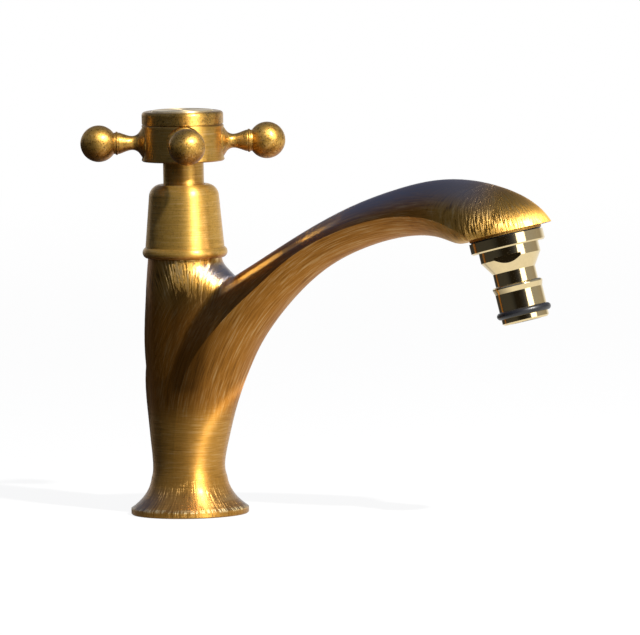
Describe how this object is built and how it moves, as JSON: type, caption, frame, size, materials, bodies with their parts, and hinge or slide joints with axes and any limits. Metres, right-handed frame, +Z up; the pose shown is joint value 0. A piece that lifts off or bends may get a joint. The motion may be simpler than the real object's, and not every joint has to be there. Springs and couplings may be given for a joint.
{
  "type": "cross handle tap",
  "caption": "Deck-mounted single pillar tap with a cross handle on a quarter-turn cartridge, a swan-necked spout and a push-on hose nozzle.",
  "frame": {"origin": "centre of the round base, on the face that rests on the deck", "axes": "+Z up along the column and the handle's axis, +X towards the spout's outlet, +Y to the left seen from behind the handle"},
  "size_m": [0.1712, 0.0646, 0.1414],
  "materials": {
    "antique_brass_casting": "antique brass patina, hand brushed",
    "antique_brass_turned": "antique brass, finely turned and brushed",
    "antique_brass_cap": "antique brass, rubbed bright on its edges",
    "antique_brass_button": "pale brushed brass",
    "polished_brass": "polished",
    "machined_brass": "machined",
    "nylon_washer": "matte",
    "stainless_steel": "bright",
    "black_rubber": "semi-matte",
    "white_ceramic": "lapped ceramic"
  },
  "bodies": {
    "tap": {"tap_body": "antique_brass_casting", "base_seal_ring": "black_rubber", "cartridge_body": "machined_brass", "cartridge_flange_washer": "nylon_washer", "cartridge_seat_seal": "black_rubber", "fixed_ceramic_disc": "white_ceramic", "bell_cover": "antique_brass_turned", "adapter_body": "polished_brass", "adapter_washer": "black_rubber", "adapter_filter_screen": "stainless_steel", "adapter_nose_o_ring": "black_rubber"},
    "handle": {"handle_hub": "antique_brass_turned", "handle_arm_right": "antique_brass_turned", "handle_arm_back": "antique_brass_turned", "handle_arm_left": "antique_brass_turned", "handle_arm_front": "antique_brass_turned", "hub_cap": "antique_brass_cap", "index_button": "antique_brass_button", "handle_screw": "stainless_steel", "screw_washer": "stainless_steel", "spindle": "machined_brass", "spindle_o_rings": "black_rubber", "spindle_thrust_washer": "nylon_washer", "spindle_circlip": "stainless_steel", "rotating_ceramic_disc": "white_ceramic"}
  },
  "joints": [
    {"name": "handle_turn", "type": "hinge", "parent": "tap", "child": "handle", "pos_m": [0, 0, 0.09], "axis": [0, 0, 1], "range_deg": [0, 90]}
  ]
}
